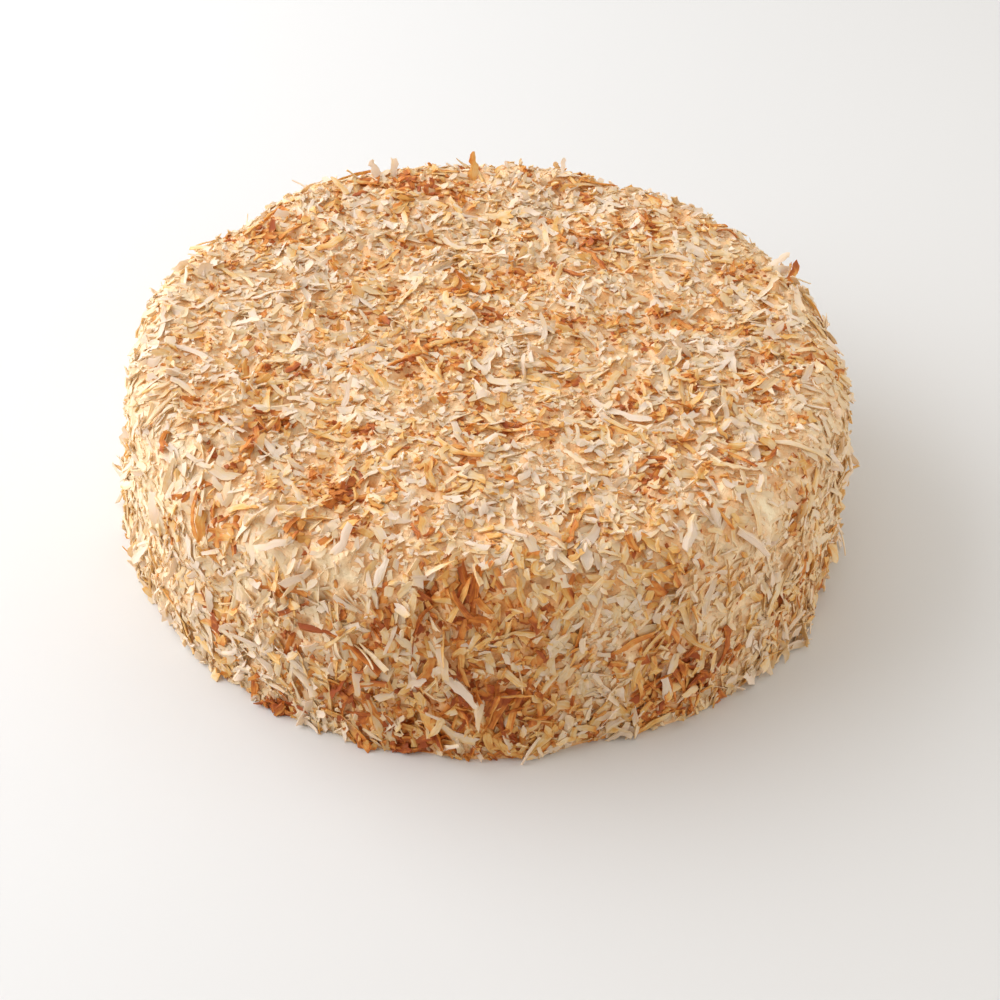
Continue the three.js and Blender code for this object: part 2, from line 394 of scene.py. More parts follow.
def with_placed(drawn):
    """The draws with the first ones given over to the listed shreds."""
    placed = Placed(*np.array(PLACED).T)
    first = slice(0, len(PLACED))
    drawn.centre[first] = placed.distance[:, None] * towards(np.radians(placed.direction))
    drawn.heading[first] = np.radians(placed.heading)
    for name in ("length", "width", "sweep", "curl"):
        getattr(drawn, name)[first] = getattr(placed, name)
    drawn.tilt[first] = np.radians(placed.tilt)
    drawn.standing[first] = placed.tilt > 0
    drawn.roll[first] = 0
    drawn.score[first] = 2 * BROWNEST_SCORE * placed.toast - BROWNEST_SCORE
    return drawn


def chosen(draws, rows):
    """The same draws, or rests, for some of the strips."""
    return type(draws)(*(values[rows] for values in draws))


# ---- The pile that the strips make ----

PILE_CELL = 0.0007
PILE_MARGIN = 0.02
SAMPLES_ALONG = np.linspace(-1, 1, 9)[None, :]
SAMPLES_ACROSS = np.array([-0.6, 0, 0.6])
BATCHES = 34
STEEPEST_SLOPE = 0.32
HELD_UP = 0.08
SETTLED = 0.35
STANDING_RISE = 0.72
LEVELLING_WIDTH = 0.011
FILLING_WIDTH = 0.0021
SEEN_DEPTH = 0.0010
BURIED_DEPTH = 0.0008
# How much browner a strip is made as it lies deeper in the coat: painted shade.
DEPTH_PAINTED_SHADE = 1.7
FOOT_FADE = 0.004
DAB_WAVES = 40


class Pile:
    """How high the coconut stands over the icing, on a flat map of the skin with square cells."""

    def __init__(self, reach):
        self.reach = reach
        self.cells = int(2 * reach / PILE_CELL) + 1
        self.height = np.zeros((self.cells, self.cells))

    def middles(self):
        """Where the middles of the cells lie along one side of the map."""
        return (np.arange(self.cells) + 0.5) * PILE_CELL - self.reach

    def index(self, chart):
        """The row and column of the cells that hold places on the map."""
        spot = ((chart + self.reach) / PILE_CELL).astype(int)
        return tuple(np.moveaxis(np.clip(spot, 0, self.cells - 1), -1, 0))

    def at(self, chart):
        """The height at places on the map."""
        return self.height[self.index(chart)]

    def between(self, chart):
        """The height at places on the map, blended between the four nearest cells."""
        spot = (chart + self.reach) / PILE_CELL - 0.5
        low = np.clip(np.floor(spot).astype(int), 0, self.cells - 2)
        down, across = np.moveaxis(np.clip(spot - low, 0, 1), -1, 0)
        row, column = np.moveaxis(low, -1, 0)
        near, far = [
            self.height[r, column] * (1 - across) + self.height[r, column + 1] * across
            for r in (row, row + 1)
        ]
        return near * (1 - down) + far * down

    def raise_to(self, chart, height):
        """Raises the pile to a height at each place, where it is lower."""
        np.maximum.at(self.height, self.index(chart), height)

    def levelled(self, width, reach):
        """The mean of this pile over a square window at each cell, by running totals both ways. Only
        cells within a reach of the middle count."""
        cell = self.middles()
        inside = np.hypot(cell[:, None], cell[None, :]) < reach
        half = int(width / PILE_CELL / 2)
        low = np.clip(np.arange(self.cells) - half, 0, self.cells)
        high = np.clip(np.arange(self.cells) + half + 1, 0, self.cells)

        def windowed(values):
            total = np.pad(values, ((1, 0), (1, 0))).cumsum(0).cumsum(1)
            rows = total[high] - total[low]
            return rows[:, high] - rows[:, low]

        level = Pile(self.reach)
        level.height = windowed(self.height * inside) / np.maximum(windowed(inside * 1.0), 1)
        return level


def along_chart(strewn, along, across, form):
    """Places on the flat map at shares of each strip's half length along it and of its half width
    across it, stretched round the cake as the map is."""
    centre = strewn.centre
    distance = np.maximum(np.hypot(centre[:, 0], centre[:, 1]), TINY)
    down = centre / distance[:, None]
    level = np.stack([-down[:, 1], down[:, 0]], -1) * skin(centre, form).stretch[:, None]
    half = strewn.length[:, None] / 2
    lying = np.where(strewn.standing, np.cos(strewn.tilt), 1)[:, None]
    forward = half * lying * along
    bow = strewn.sweep[:, None] * half * (along**2 - 1 / 3)
    sideways = bow + strewn.width[:, None] / 2 * across
    cos = np.cos(strewn.heading)[:, None]
    sin = np.sin(strewn.heading)[:, None]
    run_down = forward * cos - sideways * sin
    run_round = forward * sin + sideways * cos
    return centre[:, None] + run_down[..., None] * down[:, None] + run_round[..., None] * level[:, None]


def bow_off_skin(strewn, form):
    """How far a stiff strip's ends stand off the curved skin: half the skin's bend along the strip
    times the half length squared."""
    spot = skin(strewn.centre, form)
    bend = spot.bend_down * np.cos(strewn.heading) ** 2 + spot.bend_round * np.sin(strewn.heading) ** 2
    return strewn.stiff * bend * (strewn.length / 2) ** 2 / 2


Rest = namedtuple("Rest", "middle slope bow")


def rest_on(pile, strewn, form):
    """Where each strip comes to rest: on the straight line through the pile below, raised by a share
    of the pile's largest height over that line, with its ends bowed off by stiffness and curl."""
    along = SAMPLES_ALONG
    below = np.max([pile.at(along_chart(strewn, along, a, form)) for a in SAMPLES_ACROSS], axis=0)
    bow = bow_off_skin(strewn, form) + strewn.curl * strewn.length / 2
    gap = below - bow[:, None] * (along**2 - 1 / 3)
    middle = gap.mean(1)
    slope = (gap * along).sum(1) / (along**2).sum()
    steepest = STEEPEST_SLOPE * strewn.length / 2
    slope = np.clip(slope, -steepest, steepest)
    over = (gap - middle[:, None] - slope[:, None] * along).max(1)
    middle = middle + HELD_UP * over + strewn.thickness * SETTLED
    rise = np.where(strewn.standing, np.sin(strewn.tilt) * strewn.length / 2, 0)
    return Rest(middle + rise * STANDING_RISE, slope + rise, bow)


def lift_along(rest, along):
    """The height of a strip's middle line over the icing at shares of its half length."""
    return rest.middle[:, None] + rest.slope[:, None] * along + rest.bow[:, None] * (along**2 - 1 / 3)


def dropped(strewn, by_hand, form, coat):
    """Drops the strips in batches on the pile so far, the standing ones late and those placed one
    by one last. Returns the pile and the rests."""
    count = len(strewn.length)
    late = strewn.standing + 0.6 * (strewn.grade == CURL) + 2 * by_hand
    turn = np.argsort(late + np.random.default_rng(coat.seed + 1).uniform(0, 1, count))
    pile = Pile(skin_lengths(form)[2] + PILE_MARGIN)
    rests = np.zeros((count, len(Rest._fields)))
    for rows in np.array_split(turn, BATCHES):
        batch = chosen(strewn, rows)
        rest = rest_on(pile, batch, form)
        top = lift_along(rest, SAMPLES_ALONG) + batch.thickness[:, None] / 2
        lying = ~batch.standing
        for across in SAMPLES_ACROSS:
            place = along_chart(batch, SAMPLES_ALONG, across, form)
            pile.raise_to(place[lying], top[lying])
        rests[rows] = np.stack(rest, -1)
    return pile, Rest(*rests.T)


def cream_between(pile, level, form, coat):
    """The cream over the broad swell: the pile smoothed over a shred's width, less how far the
    strips stand bare of it."""
    reach = skin_lengths(form)[2]
    chart = np.stack(np.meshgrid(pile.middles(), pile.middles(), indexing="ij"), -1)
    smooth = pile.levelled(FILLING_WIDTH, reach).levelled(FILLING_WIDTH, reach)
    proud = by_steepness(chart, form, *coat.proud)
    bare = by_steepness(chart, form, *coat.bare)
    bare = bare + by_side(skin(chart, form).normal, *BARE_BY_SIDE)
    cream = Pile(pile.reach)
    cream.height = smooth.height - level.height + proud - bare
    return cream


Laid = namedtuple("Laid", "strewn rest cream")


@functools.lru_cache(maxsize=1)
def laid_coat(form, coat):
    """The coat, pressed into the icing until it stands as proud as asked, and filled with cream:
    the draws and rests of the strips that show, browner as they lie deeper as a painted shade, and
    the cream."""
    strewn = strewn_strips(form, coat)
    by_hand = np.arange(len(strewn.length)) < len(PLACED)
    pile, rest = dropped(strewn, by_hand, form, coat)
    over = [pile.at(along_chart(strewn, SAMPLES_ALONG, a, form)) for a in SAMPLES_ACROSS]
    lift = lift_along(rest, SAMPLES_ALONG)
    depth = np.min(over, axis=0) - lift
    level = pile.levelled(LEVELLING_WIDTH, skin_lengths(form)[2])
    pressed = level.at(strewn.centre) - by_steepness(strewn.centre, form, *coat.proud)
    cream = cream_between(pile, level, form, coat)
    bare = lift + strewn.thickness[:, None] / 2 - pressed[:, None]
    bare = bare - cream.at(along_chart(strewn, SAMPLES_ALONG, 0, form))
    shows = by_hand | (depth.min(1) < SEEN_DEPTH) & (bare.max(1) > 0)
    # Deeper strips are made browner: painted shade for the hollows of the coat, where less light reaches.
    buried = np.clip(depth.mean(1) / BURIED_DEPTH, 0, 2)
    strewn = strewn._replace(score=strewn.score + DEPTH_PAINTED_SHADE * buried)
    rest = rest._replace(middle=rest.middle - pressed)
    return Laid(chosen(strewn, shows), chosen(rest, shows), cream)


def dabs_and_mounds(point, form):
    """How far small dabs of cream, and the mounds that come up through the coat, stand off it."""
    dabs = uneven(point, form.dab_height, form.dab_width, 0.5, DAB_SEEDS, DAB_WAVES)
    return dabs + patched(point, MOUNDS, form)


def cream_lift(chart, point, form, coat):
    """How far the cream stands over the broad swell: what fills the pile, with dabs and mounds,
    fading out at the floor."""
    fade = np.clip(point[..., 2] / FOOT_FADE, 0, 1)
    return fade * (laid_coat(form, coat).cream.between(chart) + dabs_and_mounds(point, form))


# ---- Meshes ----


def floats(values):
    """Numbers in one row, as a mesh takes them."""
    return values.astype(np.float32).ravel()


def put(name, data):
    """A new object in the scene from a mesh, a lamp or a camera."""
    made = bpy.data.objects.new(name, data)
    bpy.context.scene.collection.objects.link(made)
    return made


def new_piece(name, points, faces, sharp, material):
    """An object at the origin from points and faces, smooth but for the edges that turn more than
    an angle in degrees, which rides on the cake's body."""
    mesh = bpy.data.meshes.new(name)
    mesh.from_pydata(points.tolist(), [], faces)
    mesh.polygons.foreach_set("use_smooth", np.ones(len(faces), bool))
    mesh.set_sharp_from_angle(angle=math.radians(sharp))
    mesh.materials.append(material)
    piece = put(name, mesh)
    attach(piece, "root")
    return piece


def give_points(piece, name, values):
    """Gives each point of a piece a number, under a name that its material reads."""
    piece.data.attributes.new(name, "FLOAT", "POINT").data.foreach_set("value", floats(values))


Section = namedtuple("Section", "across upright caps")

# The corners of a strip's cross section, in order round it, as shares of its half width and half
# thickness, and the faces that close its end. A slab has four corners, and a cupped one a middle too.
SLAB = Section(np.array([1, -1, -1, 1]), np.array([1, 1, -1, -1]), np.array([[0, 1, 2, 3]]))
CUPPED = Section(
    np.array([1, 0, -1, -1, 0, 1]),
    np.array([0.5, 1, 0.5, -0.5, -1, -0.5]),
    np.array([[0, 1, 4, 5], [1, 2, 3, 4]]),
)


def strip_faces(count, rings, section):
    """Faces of closed strips: the sides between one ring of corners and the next, and a cap at each
    end, all facing outwards."""
    corners = len(section.across)
    ring = np.arange(rings - 1)[:, None] * corners
    corner = np.arange(corners)
    ahead = (corner + 1) % corners
    sides = [ring + ahead, ring + corners + ahead, ring + corners + corner, ring + corner]
    sides = np.stack(sides, -1).reshape(-1, 4)
    near = section.caps[:, ::-1]
    far = section.caps + corners * (rings - 1)
    one = np.concatenate([sides, near, far])
    return (np.arange(count)[:, None, None] * corners * rings + one[None]).reshape(-1, 4)


# Where a strip's tile holds its unrolled sides and its caps, in shares of the tile.
SIDES_SIZE, SIDES_CORNER = (0.72, 0.84), (0.14, 0.08)
CAP_SIZE, CAP_CORNER, NEXT_CAP, FAR_CAP = (0.06, 0.25), (0.02, 0.1), (0, 0.4), (0.90, 0)
CAP_GRAIN = 0.1


def strip_maps(count, rings, section, length, girth, random):
    """Two maps: the grain at real size, from a random start on each strip, and a tile for each
    strip, unrolled with its caps beside it."""
    corners = len(section.across)
    along = np.arange(rings) / (rings - 1)
    near, far = along[:-1, None], along[1:, None]
    side = np.arange(corners) / corners
    ahead = side + 1 / corners
    u = np.stack(np.broadcast_arrays(near, far, far, near, side)[:4], -1)
    v = np.stack([ahead, ahead, side, side], -1)[None].repeat(rings - 1, 0)
    sides = np.stack([u, v], -1).reshape(-1, 4, 2)
    square = np.array([[0, 0], [1, 0], [1, 1], [0, 1]])
    rows = np.arange(len(section.caps))[:, None, None]
    near_caps = square * CAP_SIZE + CAP_CORNER + rows * NEXT_CAP
    far_caps = near_caps + FAR_CAP
    real = np.concatenate([sides, near_caps * CAP_GRAIN, 1 + far_caps * CAP_GRAIN])
    start = random.uniform(0, 1, (count, 1, 1, 2))
    grain = real[None] * np.stack([length, girth], -1)[:, None, None] + start
    tile = np.concatenate([sides * SIDES_SIZE + SIDES_CORNER, near_caps, far_caps])
    across = int(np.ceil(np.sqrt(count)))
    number = np.arange(count)
    place = np.stack([number % across, number // across], -1)[:, None, None]
    return grain, (tile[None] + place) / across


CRINKLE_UP = 0.20
CRINKLE_ASIDE = 0.16
END_NARROWING = 0.15
THINNEST = 0.6
CUT_DEPTH = 0.6
NOTCH_FROM = 0.7


def unit(vectors):
    """Vectors at a length of 1."""
    return vectors / np.linalg.norm(vectors, axis=-1, keepdims=True)


def strip_frame(strewn, rest, along, form):
    """A strip's middle line over the broad swell of the icing, with the ways forward, across and
    through it, which roll and twist along the way."""
    spot = skin(along_chart(strewn, along, 0, form), form)
    up = strewn.crinkle[:, : along.size, 1]
    lift = lift_along(rest, along) + swell(spot.point, form) + CRINKLE_UP * up * strewn.thickness[:, None]
    middle = spot.point + lift[..., None] * spot.normal
    forward = unit(np.gradient(middle, axis=1))
    across = unit(np.cross(spot.normal, forward))
    facing = np.cross(forward, across)
    roll = (strewn.roll[:, None] + strewn.twist[:, None] * along)[..., None]
    flat_way = np.cos(roll) * across + np.sin(roll) * facing
    thin_way = np.cos(roll) * facing - np.sin(roll) * across
    return middle, forward, flat_way, thin_way


def strip_points(strewn, rest, along, section, form):
    """The corners of each strip: its middle line, and round it a flat section that is cupped across
    and uneven in width, and is cut askew and notched at its ends."""
    middle, forward, flat_way, thin_way = strip_frame(strewn, rest, along, form)
    rings = along.size
    wedge = strewn.wedge[:, :1] + (strewn.wedge[:, 1:] - strewn.wedge[:, :1]) * (along + 1) / 2
    fullness = (wedge * (1 - END_NARROWING * along**6))[..., None]
    edge = np.where(section.across > 0, strewn.ragged[:, :rings, :1], strewn.ragged[:, :rings, 1:])
    aside = CRINKLE_ASIDE * strewn.crinkle[:, :rings, :1]
    half_width = strewn.width[:, None, None] / 2
    sideways = half_width * (fullness * edge * section.across + aside)
    bulge = strewn.cup[:, None, None] * half_width * (0.5 - np.abs(section.across))
    thick = strewn.thickness[:, None, None] / 2 * (THINNEST + (1 - THINNEST) * fullness)
    upward = thick * section.upright + bulge
    tip = (np.abs(along) == 1) * np.sign(along)
    ends = [np.where(along < 0, v[:, :1], v[:, 1:]) for v in (strewn.skew, strewn.notch)]
    skew, notch = np.stack(ends)[..., None]
    cut = skew * section.across + notch * (np.abs(section.across) - NOTCH_FROM)
    endways = tip[..., None] * cut * 2 * half_width * CUT_DEPTH
    points = middle[:, :, None] + sideways[..., None] * flat_way[:, :, None]
    points = points + upward[..., None] * thin_way[:, :, None] + endways[..., None] * forward[:, :, None]
    sunk = np.minimum(points[..., 2].min((1, 2)), 0)
    points[..., 2] -= sunk[:, None, None]
    return points


TOAST_SLANT = 0.08
TOAST_AT_ENDS = (-0.03, 0.14)


def corner_toast(toast, along, across, random):
    """The toasting of each corner, which varies over a strip and is stronger at its tips and edges."""
    along = along[..., None]
    lengthwise, crosswise = random.normal(0, TOAST_SLANT, (2, len(toast), 1, 1))
    tips, edges = random.uniform(*TOAST_AT_ENDS, (2, len(toast), 1, 1))
    uneven_toast = lengthwise * along + crosswise * across
    browned = tips * (along**2 - 0.4) + edges * (np.abs(across) - 0.7)
    return toast[:, None, None] + uneven_toast + browned


SMEAR_REACH = 0.0006
SMEAR_AT_CREAM = 0.7
SMEAR_LESS_BY_TOAST = 1.2
SMEAR_MORE_ON_SIDE, REACH_MORE_ON_SIDE = 0.2, 0.8


def smeared(strewn, rest, toast, along, form, coat, random):
    """How far each strip is smeared with cream at each of its rings: less as it lies clear of the
    cream and as it is browner, more on the left and right sides and less at the front, which is
    partly painted light and shade."""
    steep = by_steepness(strewn.centre, form, 0, 1)[:, None]
    chart = along_chart(strewn, along, 0, form)
    clear = lift_along(rest, along) - cream_lift(chart, skin(chart, form).point, form, coat)
    reach = SMEAR_REACH * (1 + REACH_MORE_ON_SIDE * steep) * random.uniform(0.5, 1.5, (len(toast), 1))
    creamier = by_side(skin(strewn.centre, form).normal, *SMEAR_AND_PAINTED_LIGHT_BY_SIDE) - SMEAR_LESS_BY_TOAST * toast
    return SMEAR_AT_CREAM + SMEAR_MORE_ON_SIDE * steep - clear / reach + creamier[:, None]


def strip_piece(name, strewn, rest, toast, rings, section, form, coat, seed, material):
    """One piece of many strips, with its maps, its toasting and its smears of cream."""
    random = np.random.default_rng(seed)
    along = np.linspace(-1, 1, rings)[None, :]
    points = strip_points(strewn, rest, along, section, form)
    faces = strip_faces(len(toast), rings, section).tolist()
    piece = new_piece(name, points.reshape(-1, 3), faces, 46, material)
    girth = 2 * (strewn.width + strewn.thickness)
    maps = strip_maps(len(toast), rings, section, strewn.length, girth, random)
    layers = piece.data.uv_layers
    for map_name, spots in zip(("grain", "OFBake"), maps):
        layers.new(name=map_name).uv.foreach_set("vector", floats(spots))
    layers["grain"].active_render = True
    give_points(piece, "toast", corner_toast(toast, along, section.across, random))
    smear = smeared(strewn, rest, toast, along, form, coat, random)
    give_points(piece, "smear", np.repeat(smear, len(section.across)))


# ---- Materials ----


class Value:
    """A socket's number, on which Python's operators add Math nodes to the same tree."""

    def __init__(self, finish, socket):
        self.finish = finish
        self.socket = socket

    def _math(self, operation, other, clamp=False):
        settings = {"operation": operation, "use_clamp": clamp}
        node = self.finish.node("ShaderNodeMath", settings, {0: self, 1: other})
        return Value(self.finish, node.outputs[0])

    def __add__(self, other):
        return self._math("ADD", other)

    __radd__ = __add__

    def __sub__(self, other):
        return self._math("SUBTRACT", other)

    def __mul__(self, other):
        return self._math("MULTIPLY", other)

    def clamped(self):
        """The number held between 0 and 1."""
        return self._math("ADD", 0, clamp=True)


def place_stops(row, stops):
    """Gives a ramp a row of colours, each at its place."""
    for place, _ in stops[1:-1]:
        row.new(place)
    for element, (place, colour) in zip(row, stops):
        element.position = place
        element.color = colour


class Finish:
    """A material under construction: its node tree, and short ways to add to it."""

    def __init__(self, name):
        self.material = bpy.data.materials.new(name)
        self.material.use_nodes = True
        self.tree = self.material.node_tree
        self.shader = self.tree.nodes["Principled BSDF"]

    def node(self, kind, settings=None, inputs=None):
        """Adds a node, makes its settings, then sets or links its sockets."""
        made = self.tree.nodes.new(kind)
        for name, value in (settings or {}).items():
            if name == "stops":
                place_stops(made.color_ramp.elements, value)
            else:
                setattr(made, name, value)
        for name, value in (inputs or {}).items():
            self.feed(made.inputs[name], value)
        return made

    def feed(self, socket, value):
        """Links a socket to a value or another socket, or sets it to a number or colour."""
        value = getattr(value, "socket", value)
        if isinstance(value, bpy.types.NodeSocket):
            self.tree.links.new(value, socket)
        else:
            socket.default_value = value

    def blend(self, share, first, second):
        """The colour between two colours."""
        return self.node("ShaderNodeMix", {"data_type": "RGBA"}, {0: share, 6: first, 7: second}).outputs[2]

    def noise(self, place, scale, detail=2.0):
        """Cloudy noise about 0.5 at a place."""
        made = self.node("ShaderNodeTexNoise", None, {"Vector": place, "Scale": scale, "Detail": detail})
        return Value(self, made.outputs["Fac"])

    def given(self, name):
        """The numbers that the points of a piece were given under a name."""
        return Value(self, self.node("ShaderNodeAttribute", {"attribute_name": name}).outputs["Fac"])

    def object_place(self):
        """The place on the object, in metres."""
        return self.node("ShaderNodeTexCoord").outputs["Object"]

    def bump(self, height, distance):
        """A Bump node's normal from a height."""
        return self.node("ShaderNodeBump", None, {"Height": height, "Distance": distance}).outputs["Normal"]

    def set(self, **sockets):
        """Sets or links the main shader's sockets, named with _ for a space."""
        for name, value in sockets.items():
            self.feed(self.shader.inputs[name.replace("_", " ")], value)
        return self.material

    def let_light_through(self, share, colour):
        """Mixes in a share of light that comes through from behind, in a colour."""
        through = self.node("ShaderNodeBsdfTranslucent", None, {"Color": colour})
        parts = {0: share, 1: self.shader.outputs[0], 2: through.outputs[0]}
        mixed = self.node("ShaderNodeMixShader", None, parts)
        self.feed(self.tree.nodes["Material Output"].inputs["Surface"], mixed.outputs[0])
        return self.material


def full(colour):
    """A colour with its alpha."""
    return (*colour, 1.0)


def icing_finish(colours):
    """Soft cream icing with a satin surface, which is painted with shade where it lies low in the coat."""
    finish = Finish("cream_icing")
    place = finish.object_place()
    cloud = finish.noise(place, 190)
    fine = finish.noise(place, 800, 3)
    share = (finish.given("rise") + (cloud - 0.5) * 1.2).clamped()
    # Blends from the painted hollow shade to the icing's own colour by the rise and a cloud.
    colour = finish.blend(share, full(colours.crevice), full(colours.icing))
    normal = finish.bump(cloud * 0.4 + fine * 0.6, 0.0011)
    return finish.set(Base_Color=colour, Roughness=0.45, Normal=normal)


# How far each colour of the coconut lies between raw and brown, and how many strips are as toasted.
TOASTING = (("raw", 0.0), ("ivory", 0.30), ("gold", 0.56), ("amber", 0.80), ("brown", 1.0))
TOAST_SPREAD = ((0, 0.0), (0.25, 0.06), (0.52, 0.30), (0.75, 0.56), (0.88, 0.80), (0.96, 0.97), (1, 1.0))
FIBRES = (260, 2600, 1)
LIGHT_THROUGH = 0.27


def coconut_finish(colours):
    """Toasted coconut, from raw to brown by each corner's own toasting, by small blotches and by
    fine fibres, which also lift the surface a little. The toasting holds painted shade on the deeper
    strips, and painted light and shade by side."""
    finish = Finish(COCONUT_FINISH)
    toast = finish.given("toast")
    blotch = finish.noise(finish.object_place(), 420)
    grain = finish.node("ShaderNodeUVMap", {"uv_map": "grain"}).outputs["UV"]
    drawn_out = finish.node("ShaderNodeMapping", None, {"Vector": grain, "Scale": FIBRES})
    fibre = finish.noise(drawn_out.outputs[0], 1.0, 1)
    share = (toast + (blotch - 0.5) * 0.6 + (fibre - 0.5) * 0.45).clamped()
    stops = [(place, full(getattr(colours, name))) for name, place in TOASTING]
    bare = finish.node("ShaderNodeValToRGB", {"stops": stops}, {"Fac": share}).outputs["Color"]
    iced = (finish.given("smear") + (blotch - 0.5) * 1.1).clamped()
    colour = finish.blend(iced, bare, full(colours.icing))
    normal = finish.bump(fibre * 0.7 + blotch * 0.3, 0.00022)
    finish.set(Base_Color=colour, Roughness=0.48 + fibre * 0.22, Normal=normal)
    return finish.let_light_through(LIGHT_THROUGH, full(colours.light_within))


# ---- The pieces ----

ICING_CELLS = 312
# How far the icing keeps its own colour over the painted shade of the hollows: more on the side than on the
# top, and more as it stands higher on dabs and mounds, so that low places take painted shade.
RISE_BY_STEEPNESS = (0.38, 0.60)
HOLLOW_SHADE_FADE_PER_METRE = 500


def disc_grid(cells, reach):
    """A square grid of places pressed into a disc: each square ring of the grid becomes a circle of
    the same half width, and its corners turn with it."""
    step = np.linspace(-1, 1, cells + 1)
    x, y = np.meshgrid(step, step, indexing="ij")
    wide = np.abs(x) >= np.abs(y)
    main, other = np.where(wide, x, y), np.where(wide, y, x)
    share = other / np.where(main == 0, 1, main)
    turn = np.where(wide, share, 2 - share) * math.pi / 4 + np.where(main < 0, math.pi, 0)
    return (np.abs(main) * reach)[..., None] * towards(turn)


def closed_grid(grid):
    """Points and faces of a square grid of points closed at the floor: its edge is brought down to
    it, and a base of triangles runs from there to the middle."""
    number = np.arange(grid[..., 0].size).reshape(grid.shape[:2])
    corner, ahead = number[:-1, :-1], number[1:, :-1]
    beside, opposite = number[:-1, 1:], number[1:, 1:]
    quads = np.stack([corner, ahead, opposite, beside], -1).reshape(-1, 4)
    rim = np.concatenate([number[:-1, 0], number[-1, :-1], number[:0:-1, -1], number[0, :0:-1]])
    points = np.concatenate([grid.reshape(-1, 3), np.zeros((1, 3))])
    points[rim, 2] = 0
    base = np.stack([np.full(len(rim), number.size), np.roll(rim, -1), rim], -1)
    return points, quads.tolist() + base.tolist()


def icing_piece(form, coat, colours):
    """The iced cake under the coconut as a piece that replaces the plain solid: a grid pressed into
    the disc of the skin's flat map, lifted by the swell and the cream."""
    chart = disc_grid(ICING_CELLS, skin_lengths(form)[2])
    spot = skin(chart, form)
    lift = swell(spot.point, form) + cream_lift(chart, spot.point, form, coat)
    points, faces = closed_grid(spot.point + lift[..., None] * spot.normal)
    piece = new_piece("icing", points, faces, 60, icing_finish(colours))
    # The share of the icing's own colour over the painted hollow shade, paler on the left and right and
    # darker at the front: partly painted light and shade.
    rise = by_steepness(chart, form, *RISE_BY_STEEPNESS) + by_side(spot.normal, *ICING_PAINTED_LIGHT_BY_SIDE)
    give_points(piece, "rise", np.append(rise + HOLLOW_SHADE_FADE_PER_METRE * dabs_and_mounds(spot.point, form), 0))
    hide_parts(CAKE_NODE)


# The pieces of each grade, with the share of its strips that each takes.
SHREDS = {"shreds_raw": 0.25, "shreds_golden": 0.30, "shreds_toasted": 0.28, "shreds_brown": 0.17}
CURLS = {"curls": 1.0}
CHIPS = {"chips_pale": 0.34, "chips_golden": 0.34, "chips_brown": 0.32}
CRUMBS = {"crumbs_pale": 0.5, "crumbs_toasted": 0.5}


def strew(kinds, grade, rings, section, form, coat, colours):
    """Makes the pieces of some kinds: the strips of a grade are ranked by their toasting, and each
    kind takes its share, from the palest to the brownest."""
    strewn, rest, _ = laid_coat(form, coat)
    mine = np.nonzero(strewn.grade == grade)[0]
    ranked = mine[np.argsort(strewn.score[mine])]
    rank = (np.arange(len(ranked)) + 0.5) / len(ranked)
    toast = np.interp(rank, *zip(*TOAST_SPREAD))
    finish = bpy.data.materials.get(COCONUT_FINISH) or coconut_finish(colours)
    start = 0.0
    for number, (name, share) in enumerate(kinds.items()):
        mine = (rank >= start) & (rank < start + share)
        drawn, rests = chosen(strewn, ranked[mine]), chosen(rest, ranked[mine])
        seed = coat.seed + 10 * grade + number
        strip_piece(name, drawn, rests, toast[mine], rings, section, form, coat, seed, finish)
        start += share


# ---- Operators ----

GROUPS = {"cake_form": CakeForm, "cake_coat": CoatSizes, "cake_colours": CakeColours}


def settings():
    """The scene's own settings, as plain values."""
    return [plain(getattr(bpy.context.scene, name)) for name in GROUPS]


class CAKE_OT_icing(bpy.types.Operator):
    """Make the iced core of the cake"""

    bl_idname = "cake.icing"
    bl_label = "Ice the cake"

    def execute(self, context):
        icing_piece(*settings())
        return {"FINISHED"}


class CAKE_OT_shreds(bpy.types.Operator):
    """Strew the shreds of coconut, from raw to brown"""

    bl_idname = "cake.shreds"
    bl_label = "Strew shreds"

    def execute(self, context):
        strew(SHREDS, SHRED, 5, CUPPED, *settings())
        strew(CURLS, CURL, MOST_RINGS, CUPPED, *settings())
        return {"FINISHED"}


class CAKE_OT_chips(bpy.types.Operator):
    """Strew the short chips of coconut"""

    bl_idname = "cake.chips"
    bl_label = "Strew chips"

    def execute(self, context):
        strew(CHIPS, CHIP, 3, SLAB, *settings())
        return {"FINISHED"}


class CAKE_OT_crumbs(bpy.types.Operator):
    """Strew the crumbs of coconut"""

    bl_idname = "cake.crumbs"
    bl_label = "Strew crumbs"

    def execute(self, context):
        strew(CRUMBS, CRUMB, 2, SLAB, *settings())
        return {"FINISHED"}


# The camera, from the outlines of the cake and of what it stands on in the photograph.
CAMERA_DISTANCE = 0.600
CAMERA_ELEVATION = math.radians(40.8)
CAMERA_ROLL = math.radians(1.75)
FOCAL_PIXELS = 1830.0
IMAGE_PIXELS = 1000.0
ORIGIN_PIXEL = (482.1, 491.7)
SENSOR = 36.0

# Each lamp's name, place, size, power and colour.
LAMPS = (
    ("key", (-0.84, 0.14, 0.36), 1.3, 15.0, (0.98, 1.0, 1.05)),
    ("overhead", (-0.40, 0.45, 0.95), 2.4, 11.5, (0.98, 1.0, 1.05)),
    ("fill", (1.0, -0.15, 0.2), 0.8, 4.2, (1, 1, 1)),
    ("bounce", (0.15, -0.75, 0.10), 0.5, 0.35, (1.0, 0.62, 0.34)),
)
LAMPS_AIM = Vector((0, 0, 0.03))
ROOM_COLOUR = (1.0, 0.92, 0.78)
ROOM_STRENGTH = 0.43
FLOOR_COLOUR = (0.74, 0.74, 0.74)
FLOOR_REACH = 6.0


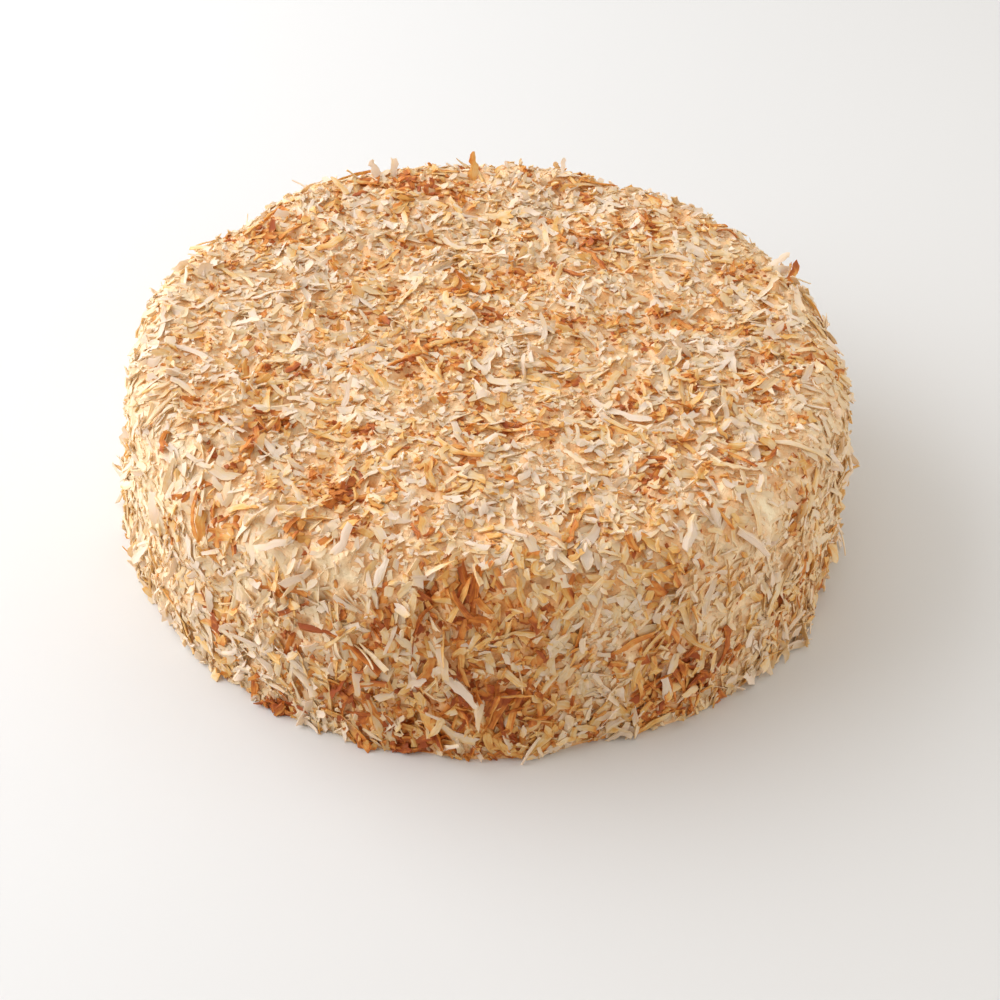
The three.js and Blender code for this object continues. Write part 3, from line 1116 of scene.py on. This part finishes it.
def add_camera():
    """A pinhole camera that looks at the origin, rolled a little, and shifted so that the origin
    falls on its pixel."""
    camera = bpy.data.cameras.new("camera")
    camera.sensor_width = SENSOR
    camera.lens = FOCAL_PIXELS / IMAGE_PIXELS * SENSOR
    camera.shift_x = (IMAGE_PIXELS / 2 - ORIGIN_PIXEL[0]) / IMAGE_PIXELS
    camera.shift_y = (ORIGIN_PIXEL[1] - IMAGE_PIXELS / 2) / IMAGE_PIXELS
    camera.clip_start = 0.01
    holder = put("camera", camera)
    tilted = Matrix.Rotation(math.pi / 2 - CAMERA_ELEVATION, 4, "X")
    rolled = Matrix.Rotation(CAMERA_ROLL, 4, "Z")
    holder.matrix_world = tilted @ rolled @ Matrix.Translation((0, 0, CAMERA_DISTANCE))
    bpy.context.scene.camera = holder


def add_lamp(name, place, size, power, colour):
    """A square soft light that faces the cake."""
    light = bpy.data.lights.new(name, "AREA")
    light.size = size
    light.energy = power
    light.color = colour
    holder = put(name, light)
    holder.location = place
    holder.rotation_euler = (LAMPS_AIM - Vector(place)).to_track_quat("-Z", "Y").to_euler()


def add_room():
    """Weak even light from all round."""
    world = bpy.data.worlds.new("studio")
    world.use_nodes = True
    background = world.node_tree.nodes["Background"].inputs
    background["Color"].default_value = full(ROOM_COLOUR)
    background["Strength"].default_value = ROOM_STRENGTH
    bpy.context.scene.world = world


def add_floor():
    """A wide pale floor under the cake."""
    mesh = bpy.data.meshes.new("floor")
    corners = [(x * FLOOR_REACH, y * FLOOR_REACH, 0) for x, y in ((-1, -1), (1, -1), (1, 1), (-1, 1))]
    mesh.from_pydata(corners, [], [(0, 1, 2, 3)])
    mesh.materials.append(Finish("pale_floor").set(Base_Color=full(FLOOR_COLOUR), Roughness=0.9))
    floor = put("floor", mesh)


class CAKE_OT_stage(bpy.types.Operator):
    """Make the pale floor, the soft light and the camera"""

    bl_idname = "cake.stage"
    bl_label = "Set the stage"

    def execute(self, context):
        add_floor()
        for lamp in LAMPS:
            add_lamp(*lamp)
        add_room()
        bpy.context.scene.view_settings.view_transform = "Standard"
        add_camera()
        return {"FINISHED"}


class CAKE_PT_panel(bpy.types.Panel):
    """The cake's settings and the steps that make it"""

    bl_idname = "CAKE_PT_panel"
    bl_label = "Coconut Cake"
    bl_space_type = "VIEW_3D"
    bl_region_type = "UI"
    bl_category = "Cake"

    def draw(self, context):
        for group in (getattr(context.scene, name) for name in GROUPS):
            box = self.layout.box()
            for name in group.__annotations__:
                box.prop(group, name)
        for step in STEPS:
            self.layout.operator(step.bl_idname)


STEPS = (CAKE_OT_icing, CAKE_OT_shreds, CAKE_OT_chips, CAKE_OT_crumbs, CAKE_OT_stage)
CLASSES = (*GROUPS.values(), *STEPS, CAKE_PT_panel)


def register():
    for cls in CLASSES:
        bpy.utils.register_class(cls)
    for name, group in GROUPS.items():
        setattr(bpy.types.Scene, name, bpy.props.PointerProperty(type=group))


def unregister():
    for name in GROUPS:
        delattr(bpy.types.Scene, name)
    for cls in reversed(CLASSES):
        bpy.utils.unregister_class(cls)


def main():
    """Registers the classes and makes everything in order."""
    register()
    bpy.ops.cake.icing()
    bpy.ops.cake.shreds()
    bpy.ops.cake.chips()
    bpy.ops.cake.crumbs()
    bpy.ops.cake.stage()
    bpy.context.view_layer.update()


if __name__ == "__main__":
    main()
